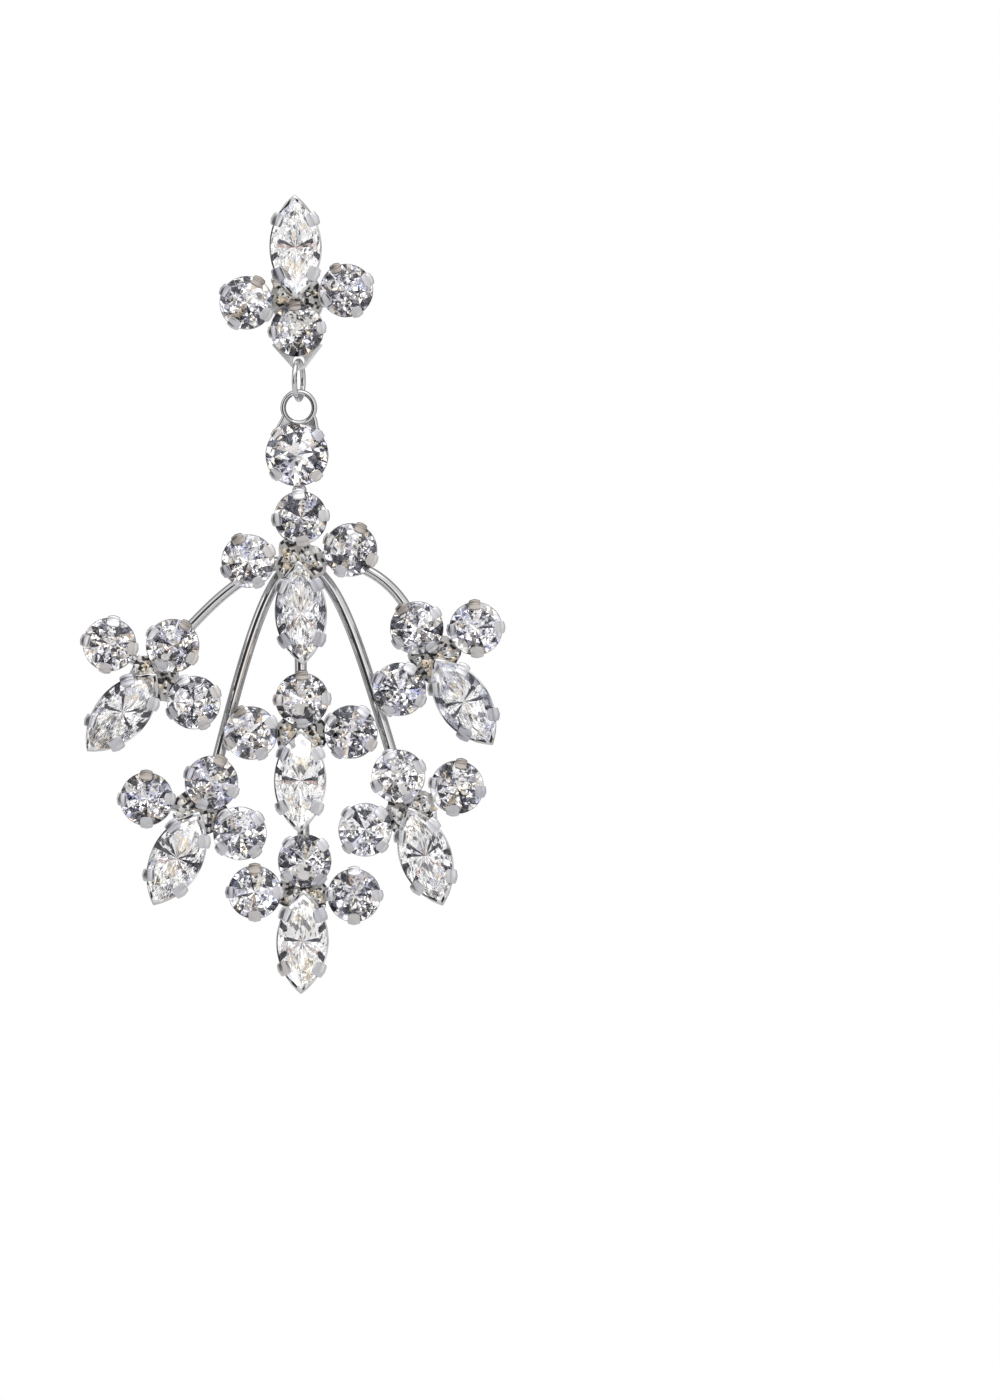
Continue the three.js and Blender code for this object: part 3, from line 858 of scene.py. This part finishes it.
def feed(tree, socket, value):
    """Links an input to an output, or sets it to a number or a tone."""
    if isinstance(value, bpy.types.NodeSocket):
        tree.links.new(value, socket)
    elif isinstance(value, tuple):
        socket.default_value = (*value, 1)
    else:
        socket.default_value = value


def node(tree, kind, inputs, operation=None):
    made = tree.nodes.new(f"ShaderNode{kind}")
    if operation:
        made.operation = operation
    for name, value in inputs.items():
        feed(tree, made.inputs[name], value)
    return made


def noise_texture(tree, scale, detail=2.0):
    """Noise that stays put on the piece."""
    place = node(tree, "TexCoord", {}).outputs["Object"]
    texture = node(tree, "TexNoise", {"Vector": place, "Scale": scale, "Detail": detail})
    return texture.outputs["Fac"]


def tone_ramp(tree, value, dark, light, start=0.0, stop=1.0):
    ramp = node(tree, "ValToRGB", {"Fac": value})
    elements = ramp.color_ramp.elements
    for element, position, tone in zip(elements, (start, stop), (dark, light)):
        element.position = position
        element.color = (*tone, 1)
    return ramp.outputs["Color"]


def spread(tree, value, low, high):
    """A value from 0 to 1, spread from low to high."""
    limits = node(tree, "MapRange", {"Value": value, "To Min": low, "To Max": high})
    return limits.outputs["Result"]


def number(tree, operation, first, second):
    return node(tree, "Math", {0: first, 1: second}, operation).outputs["Value"]


def mixed(tree, share, first, second):
    """A mix of two colours."""
    mix = node(tree, "Mix", {})
    mix.data_type = "RGBA"
    for place, value in ((0, share), (6, first), (7, second)):
        feed(tree, mix.inputs[place], value)
    return mix.outputs[2]


# The faces' tones: own tints on some faces, painted reflections on others
def face_tint_and_painted_reflection(tree):
    own = node(tree, "Attribute", {})
    own.attribute_name = "tone"
    return own.outputs["Color"]


def metal(name, light, dark, rough_low, rough_high, bump, metallic=1.0):
    """Rhodium plate: faint tone changes, worn patches in the polish and fine scratches."""
    material, tree, shader = new_material(name)
    shader.inputs["Metallic"].default_value = metallic
    tone = tone_ramp(tree, noise_texture(tree, TONE_SCALE, TONE_DETAIL), dark, light, *TONE_SPAN)
    toned = node(tree, "VectorMath", {0: tone, 1: face_tint_and_painted_reflection(tree)}, "MULTIPLY")
    worn = noise_texture(tree, WEAR_SCALE, WEAR_DETAIL)
    scratch = noise_texture(tree, SCRATCH_SCALE)
    relief = node(tree, "Bump", {"Strength": bump, "Distance": SCRATCH_DEPTH, "Height": scratch})
    feed(tree, shader.inputs["Base Color"], toned.outputs["Vector"])
    feed(tree, shader.inputs["Roughness"], spread(tree, worn, rough_low, rough_high))
    feed(tree, shader.inputs["Normal"], relief.outputs["Normal"])
    return material


def crystal():
    """Clear glass with the faintest cool and warm streaks in it."""
    material, tree, shader = new_material("crystal_glass")
    shader.inputs["Transmission Weight"].default_value = 1.0
    shader.inputs["IOR"].default_value = GLASS_IOR
    shader.inputs["Roughness"].default_value = 0.0
    streak = noise_texture(tree, STREAK_SCALE)
    feed(tree, shader.inputs["Base Color"], tone_ramp(tree, streak, GLASS_COOL, GLASS_WARM))
    return material


def foil(name, roughness):
    """The mirror coat behind a stone, with a painted reflection tone for each facet and a painted
    glow for rays that have bounced deep.
    """
    material, tree, shader = new_material(name)
    shader.inputs["Metallic"].default_value = 1.0
    shader.inputs["Roughness"].default_value = roughness
    haze = spread(tree, noise_texture(tree, HAZE_SCALE), HAZE_LOW, 1.0)
    toned = node(tree, "VectorMath", {0: face_tint_and_painted_reflection(tree), "Scale": haze}, "SCALE")
    colour = toned.outputs["Vector"]
    # Painted glow: for rays past a few bounces the foil is black and emits its facet's tone
    depth = node(tree, "LightPath", {}).outputs["Ray Depth"]
    deep = number(tree, "GREATER_THAN", depth, DEEP_BOUNCE)
    glow = node(tree, "Gamma", {"Color": colour, "Gamma": DEEP_CONTRAST}).outputs["Color"]
    feed(tree, shader.inputs["Base Color"], mixed(tree, deep, colour, (0, 0, 0)))
    feed(tree, shader.inputs["Emission Color"], glow)
    feed(tree, shader.inputs["Emission Strength"], number(tree, "MULTIPLY", deep, DEEP_PAINTED_GLOW))
    return material


polished = metal("rhodium_polished", (0.73, 0.73, 0.735), (0.66, 0.66, 0.665), 0.05, 0.13, 0.08)
satin = metal("rhodium_satin", (0.76, 0.76, 0.785), (0.68, 0.68, 0.70), 0.24, 0.38, 0.12)
solder = metal("frosted_solder", (0.97, 0.955, 0.93), (0.91, 0.89, 0.86), 0.22, 0.38, 0.12, 0.2)
glass = crystal()
round_materials = [glass, foil("round_foil", ROUND_FOIL_ROUGHNESS)]
navette_materials = [glass, foil("navette_foil", NAVETTE_FOIL_ROUGHNESS)]


# First seeds of the stones, of the settings and of the solder
STONE_SEED = 100
STUD_SEED = 300
CONNECTOR_SEED = 390
DROP_SEED = 400
DROP_SEED_STEP = 10
STUD_SOLDER_SEED = 11
DROP_SOLDER_SEED = 2
NECK_SEED = 21

# Seats of all stones
seats = {}
for cluster, row in CLUSTERS.items():
    for seat_name, first_claw in row["claws"].items():
        name = f"{cluster}_{seat_name}"
        seats[name] = Seat(f"{name}_round", claw=first_claw)
    seats[f"{cluster}_navette"] = Seat(f"{cluster}_navette", aim=row["aim"])
connector = Seat("connector_round", claw=CONNECTOR_CLAW)


def cluster_seats(cluster):
    names = [f"{cluster}_{name}" for name in CLUSTERS[cluster]["claws"]] + [f"{cluster}_navette"]
    return [seats[name] for name in names]


def cluster_hub(cluster):
    navette = seats[f"{cluster}_navette"]
    return polar(navette.centre, -NAVETTE_LENGTH / 2, CLUSTERS[cluster]["aim"])


def dress_stones():
    for number, seat in enumerate([connector, *seats.values()]):
        materials = navette_materials if seat.is_navette else round_materials
        stone = cut_stone(seat, materials, STONE_SEED + number)
        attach(stone, "stud" if seat.name.startswith("stud") else "drop")
        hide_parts(f"{seat.name}_stone")


# Hanging points, from the link's solid

link_low, link_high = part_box("jump_ring_link")
hanging_y = (link_low[1] + link_high[1]) / 2 / MM
link_x = (link_low[0] + link_high[0]) / 2 / MM
link_z = (link_low[2] + link_high[2]) / 2 / MM
hole = (link_x, link_z + (LINK_DIAMETER - LINK_WIRE) / 2)
RING_SIDES = 56


def wire_circle(centre, radius, turn):
    """Points round a ring whose plane is turned about the vertical."""
    c, s = direction(turn)
    result = []
    for angle in full_turn(RING_SIDES):
        flat = radius * math.cos(angle)
        up = radius * math.sin(angle)
        result.append((centre[0] + flat * c, centre[1] + flat * s, centre[2] + up))
    return result


# The painted dark reflection line on a ring's inner slope: shares of the wire's radius, and how far
# to the sides
REFLECTION_LINE_REACH = (0.4, 0.9)
REFLECTION_LINE_SIDE = 0.45


def wire_ring(shape, centre, diameter, wire, turn):
    """A ring of wire with painted dark reflection lines on the inside of its front, left and right.
    """
    circle = wire_circle(centre, (diameter - wire) / 2, turn)
    start = len(shape.faces)
    tube(shape, circle, wire / 2, closed=True)
    sides = (len(shape.faces) - start) // len(circle)
    for i in range(start, len(shape.faces)):
        here = Vector(circle[(i - start) // sides])
        corners = [Vector(shape.points[k]) for k in shape.faces[i]]
        offset = sum(corners, Vector()) / len(corners) - here
        inward = Vector((centre[0] - here.x, centre[2] - here.z)).normalized()
        reach = (offset.x * inward.x + offset.z * inward.y) / (wire / 2)
        at_side = abs(inward.x) > REFLECTION_LINE_SIDE
        # Faces on the inner slope get the painted dark reflection line
        if at_side and offset.y < 0 and REFLECTION_LINE_REACH[0] < reach < REFLECTION_LINE_REACH[1]:
            shape.tones[i] = PAINTED_REFLECTION_LINE_TONE


def dress_link():
    shape = Shape()
    wire_ring(shape, (link_x, hanging_y, link_z), LINK_DIAMETER, LINK_WIRE, 90 - LINK_TURN)
    link = shape.build("link_wire", [polished])
    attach(link, "link")
    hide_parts("jump_ring_link")


PLATE_STEPS = 16
PLATE_UNDER_STONE = 0.7
PLATE_EDGE = 0.12
HOLE_SIDES = 28
HOLE_INSIDE = 0.98


def stud_plate(shape):
    """The pointed plate with its hole, with rounded edges."""
    low = seats["stud_low"]
    wing = low.half_width + PLATE_WING
    inner = low.half_width - PLATE_UNDER_STONE
    half = PLATE_THICKNESS / 2
    down = -90
    outline = [polar(low.centre, wing, down - PLATE_WING_ANGLE)]
    for i in range(PLATE_STEPS + 1):
        turn = 180 + PLATE_SLOPE + (180 - 2 * PLATE_SLOPE) * i / PLATE_STEPS
        outline.append(polar(hole, PLATE_END_RADIUS, turn))
    for i in range(PLATE_STEPS + 1):
        turn = down + PLATE_WING_ANGLE - 2 * PLATE_WING_ANGLE * i / PLATE_STEPS
        outline.append(polar(low.centre, wing if i == 0 else inner, turn))
    opening = [polar(hole, HOLE_RADIUS, -360 * i / HOLE_SIDES) for i in range(HOLE_SIDES)]
    corners = [Vector(p) for p in outline + opening]
    borders = [list(range(len(outline))), list(range(len(outline), len(corners)))]
    flat, _, flat_faces, *_ = delaunay_2d_cdt(corners, [], borders, 2, 1e-6)
    keep = []
    for face in flat_faces:
        middle = sum((flat[i] for i in face), Vector((0, 0))) / len(face)
        if (middle - Vector(hole)).length > HOLE_RADIUS * HOLE_INSIDE:
            keep.append(list(face))
    count = len(flat)
    points = [(p[0], hanging_y + side * half, p[1]) for side in (1, -1) for p in flat]
    faces = keep + [[i + count for i in reversed(face)] for face in keep]
    edges = {(a, b) for face in keep for a, b in zip(face, face[1:] + face[:1])}
    for a, b in edges:
        if (b, a) not in edges:
            faces.append([b, a, a + count, b + count])
    shape.add(*softened(points, faces, PLATE_EDGE), SOLDER, PLATE_TONE)


# Metalwork shades smooth up to this angle between faces
SMOOTH_ANGLE = 38


def dress_stud():
    shape = Shape()
    group = cluster_seats("stud")
    for number, seat in enumerate(group):
        setting(shape, seat, STUD_SEED + number)
    cluster_solder(shape, group, cluster_hub("stud"), STUD_SOLDER_SEED)
    stud_plate(shape)
    metalwork = shape.build("stud_metalwork", [polished, satin, solder], SMOOTH_ANGLE)
    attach(metalwork, "stud")
    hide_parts("stud_frame")


POST_SIDES = 48
POST_GROOVE = 0.09
POST_SMOOTH_ANGLE = 35


def dress_post():
    """The pad and the post, with a groove for the nut near its end."""
    low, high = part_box("ear_post")
    shape = Shape()
    pad_radius = POST_PAD_DIAMETER / 2
    post_radius = POST_DIAMETER / 2
    groove = post_radius - POST_GROOVE
    front = low[1] / MM
    tip = high[1] / MM
    rows = [
        (0.05, front), (0.97 * pad_radius, front), (pad_radius, front + 0.08), (pad_radius, -0.1),
        (0.97 * pad_radius, 0.0), (post_radius + 0.25, 0.0), (post_radius + 0.06, 0.07),
        (post_radius, 0.3), (post_radius, tip - 2.6), (groove, tip - 2.45),
        (groove, tip - 2.05), (post_radius, tip - 1.9), (post_radius, tip - 0.35),
        (post_radius * 0.7, tip - 0.08), (0.05, tip),
    ]
    turned(shape, rows, (0.0, 0.0), POST_SIDES)
    post = shape.build("post_turned", [polished], POST_SMOOTH_ANGLE)
    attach(post, "stud")
    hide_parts("ear_post")


def bezier(a, b, c, d, steps):
    result = []
    for i in range(steps + 1):
        t = i / steps
        weights = ((1 - t) ** 3, 3 * t * (1 - t) ** 2, 3 * t * t * (1 - t), t ** 3)
        result.append(tuple(sum(w * p[k] for w, p in zip(weights, (a, b, c, d))) for k in (0, 1)))
    return result


WIRE_STEPS = 48


def curved_wires(shape, back):
    start = cluster_hub("upper")
    for row in WIRES:
        end = seats[f"{row['to']}_head"].centre
        distance = math.dist(start, end)
        first = polar(start, distance * row["out"], row["leave"])
        second = polar(end, -distance * row["back"], row["arrive"])
        wire = INNER_WIRE if row["to"].startswith("inner") else OUTER_WIRE
        y = back + wire / 2 - SETTING_FLOOR
        path = [(u, y, v) for u, v in bezier(start, first, second, end, WIRE_STEPS)]
        tube(shape, path, wire / 2, THICK_WIRE_SIDES)


SHOULDER_RADIUS = 0.3
SHOULDER_STEPS = 6
# Where a shoulder bends: how far to the side and up, from its start and from its foot
SHOULDER_BENDS = ((0.25, -0.6), (-0.4, 0.65))
PEG_RADIUS = 0.45
PEG_DEPTH = 0.9
PEG_REACH = 1.3
TAB_EDGE = 0.1
TAB_RISE = 0.1
TAB_TOP_STEPS = 12
TAB_FOOT_STEPS = 14


def drop_ring(shape):
    """The ring with its two shoulders, the flat tab between them and the peg behind."""
    _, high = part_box("drop_frame")
    radius = (RING_DIAMETER - RING_WIRE) / 2
    ring = (hole[0], high[2] / MM - RING_DIAMETER / 2)
    wire_ring(shape, (ring[0], hanging_y, ring[1]), RING_DIAMETER, RING_WIRE, 0)
    sweep = 90 - SHOULDER_BEARING
    outline = []
    for i in range(TAB_TOP_STEPS + 1):
        outline.append(polar(ring, radius, 270 - sweep + 2 * sweep * i / TAB_TOP_STEPS))
    edge = connector.half_width + TAB_RISE
    for i in range(TAB_FOOT_STEPS + 1):
        outline.append(polar(connector.centre, edge, CONNECTOR_CLAW + 90 * i / TAB_FOOT_STEPS))
    count = len(outline)
    points = [(x, hanging_y + side * TAB_THICKNESS / 2, z) for side in (1, -1) for x, z in outline]
    faces = [list(range(count)), list(range(2 * count - 1, count - 1, -1))]
    faces += [[(i + 1) % count, i, i + count, (i + 1) % count + count] for i in range(count)]
    shape.add(*softened(points, faces, TAB_EDGE), SATIN, TAB_TONE)
    for bearing, (edge, _) in zip((-SHOULDER_BEARING, 180 + SHOULDER_BEARING), connector.claws):
        side = 1 if edge[0] > 0 else -1
        start = polar(ring, radius, bearing)
        foot = (connector.centre[0] + edge[0], connector.centre[1] + edge[1])
        bends = [
            (end[0] + side * across, hanging_y, end[1] + up)
            for end, (across, up) in zip((start, foot), SHOULDER_BENDS)
        ]
        path = [(start[0], hanging_y, start[1]), *bends, (foot[0], hanging_y, foot[1])]
        tube(shape, smooth_path(path, SHOULDER_STEPS), SHOULDER_RADIUS)
    root = connector.centre[1] + connector.half_width - PEG_REACH
    peg = [(ring[0], hanging_y, ring[1] - radius), (ring[0], hanging_y + PEG_DEPTH, root)]
    tube(shape, peg, PEG_RADIUS)


# The bar from the connector to the upper cluster, and the two lumps of solder in front of it
NECK_FROM = -1.6
NECK_TO = 1.4
NECK_BITS = (-0.5, 0.2)
NECK_BIT_DEPTH = 0.9
NECK_BIT_SIZE = 0.6


def neck(shape, back):
    head = seats["upper_head"]
    y = back - STRUT_DIAMETER / 2
    start = (connector.centre[0], y, connector.centre[1] + NECK_FROM)
    end = (head.centre[0], y, head.centre[1] + NECK_TO)
    tube(shape, [start, end], STRUT_DIAMETER / 2)
    gap = (connector.centre[1] - connector.half_width + head.centre[1] + head.half_width) / 2
    rng = random.Random(NECK_SEED)
    for side in NECK_BITS:
        spot = (head.centre[0] + side, head.girdle_y + NECK_BIT_DEPTH, gap)
        blob(shape, spot, NECK_BIT_SIZE, rng)


def dress_drop():
    shape = Shape()
    for number, cluster in enumerate(name for name in CLUSTERS if name != "stud"):
        group = cluster_seats(cluster)
        for place, seat in enumerate(group):
            setting(shape, seat, DROP_SEED + DROP_SEED_STEP * number + place)
        cluster_solder(shape, group, cluster_hub(cluster), DROP_SOLDER_SEED + number)
    setting(shape, connector, CONNECTOR_SEED)
    back = connector.back_y()
    neck(shape, back)
    curved_wires(shape, back)
    spine_y = back + INNER_WIRE / 2 - SETTING_FLOOR
    top = cluster_hub("upper")
    bottom = cluster_hub("lower")
    spine = [(top[0], spine_y, top[1]), (bottom[0], spine_y, bottom[1])]
    tube(shape, spine, INNER_WIRE / 2, THICK_WIRE_SIDES)
    drop_ring(shape)
    metalwork = shape.build("drop_metalwork", [polished, satin, solder], SMOOTH_ANGLE)
    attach(metalwork, "drop")
    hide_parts("drop_frame")


dress_stones()
dress_link()
dress_stud()
dress_post()
dress_drop()


# Studio

# Patches of the studio that the polished metal sees: direction, half angle, soft edge, colour
STUDIO_PATCHES = [
    ((0.0, 1.0, 0.0), 80, 20, (0.34, 0.34, 0.35)),
    ((0.1, -0.5, 0.86), 20, 12, (1.75, 1.75, 1.76)),
    ((-0.8, -0.5, 0.25), 13, 8, (1.45, 1.45, 1.47)),
    ((0.62, -0.75, -0.2), 9, 6, (0.56, 0.44, 0.33)),
    ((0.1, -0.7, -0.7), 15, 8, (0.19, 0.19, 0.21)),
    ((-0.5, -0.87, 0.0), 25, 8, (0.05, 0.045, 0.045)),
    ((0.24, -0.97, 0.04), 9, 6, (1.2, 1.2, 1.2)),
]
STUDIO_BASE = (0.86, 0.86, 0.865)

# What the stones see inside, from dark to light, each from a share of the room
ROOM_TONES = [
    (0.0, (0.06, 0.06, 0.08)),
    (0.10, (0.24, 0.24, 0.26)),
    (0.22, (0.52, 0.50, 0.49)),
    (0.39, (0.74, 0.73, 0.74)),
    (0.57, (0.98, 0.98, 0.97)),
    (0.77, (2.3, 2.3, 2.3)),
]
ROOM_SCALE = 11.0


def patches(tree, place):
    """The pale studio with its lamps and dark cards."""
    current = STUDIO_BASE
    for way, angle, soft, tone in STUDIO_PATCHES:
        way = Vector(way).normalized()
        dot = node(tree, "VectorMath", {0: place, 1: way}, "DOT_PRODUCT").outputs["Value"]
        outer, inner = (math.cos(math.radians(a)) for a in (angle + soft, angle))
        mask = node(tree, "MapRange", {"Value": dot, "From Min": outer, "From Max": inner})
        mask.interpolation_type = "SMOOTHSTEP"
        current = mixed(tree, mask.outputs["Result"], current, tone)
    return current


def room(tree, place):
    """A room of plain pale and dark cells."""
    inputs = {"Vector": place, "Scale": ROOM_SCALE, "Randomness": 1.0}
    cells = node(tree, "TexVoronoi", inputs).outputs["Color"]
    grey = node(tree, "SeparateColor", {"Color": cells}).outputs["Red"]
    tones = node(tree, "ValToRGB", {"Fac": grey})
    ramp = tones.color_ramp
    ramp.interpolation = "CONSTANT"
    while len(ramp.elements) < len(ROOM_TONES):
        ramp.elements.new(1.0)
    for element, (position, tone) in zip(ramp.elements, ROOM_TONES):
        element.position = position
        element.color = (*tone, 1)
    return tones.outputs["Color"]


def studio_world():
    """The camera sees plain white, the metal the studio and the stones' insides the room."""
    world = bpy.data.worlds.new("studio")
    bpy.context.scene.world = world
    world.use_nodes = True
    tree = world.node_tree
    tree.nodes.clear()
    place = node(tree, "TexCoord", {}).outputs["Generated"]
    path = node(tree, "LightPath", {}).outputs
    inside = number(tree, "GREATER_THAN", path["Transmission Depth"], 0.5)
    seen = mixed(tree, inside, patches(tree, place), room(tree, place))
    seen = mixed(tree, path["Is Camera Ray"], seen, PLAIN)
    background = node(tree, "Background", {"Color": seen})
    node(tree, "OutputWorld", {"Surface": background.outputs["Background"]})


# The floor's section from its middle to its rim and back: radius and height
FLOOR_ROWS = ((1.0, -160.0), (380.0, -160.0), (380.0, -164.0), (1.0, -164.0))
FLOOR_SIDES = 96
FLOOR_TONES = ((0.9, 0.9, 0.9), (0.94, 0.94, 0.94))
FLOOR_ROUGHNESS = 0.8
FLOOR_SMOOTH_ANGLE = 30
GRAIN_SCALE = 60.0


def floor():
    """A pale round floor under the earring."""
    material, tree, shader = new_material("pale_floor")
    grain = node(tree, "TexNoise", {"Scale": GRAIN_SCALE}).outputs["Fac"]
    feed(tree, shader.inputs["Base Color"], tone_ramp(tree, grain, *FLOOR_TONES))
    shader.inputs["Roughness"].default_value = FLOOR_ROUGHNESS
    shape = Shape()
    loops = []
    for radius, height in FLOOR_ROWS:
        angles = full_turn(FLOOR_SIDES)
        loops.append([(radius * math.cos(a), radius * math.sin(a), height) for a in angles])
    rings(shape, loops)
    ground = shape.build("ground", [material], FLOOR_SMOOTH_ANGLE)


def camera():
    data = bpy.data.cameras.new("camera")
    data.sensor_width = SENSOR
    data.lens = SENSOR * CAMERA_DISTANCE / FRAME_HEIGHT
    view = bpy.data.objects.new("camera", data)
    view.location = (CAMERA_X, -CAMERA_DISTANCE, CAMERA_Z)
    view.rotation_euler = (math.pi / 2, 0, 0)
    bpy.context.collection.objects.link(view)
    bpy.context.scene.camera = view


studio_world()
floor()
camera()
bpy.context.scene.view_settings.view_transform = "Standard"
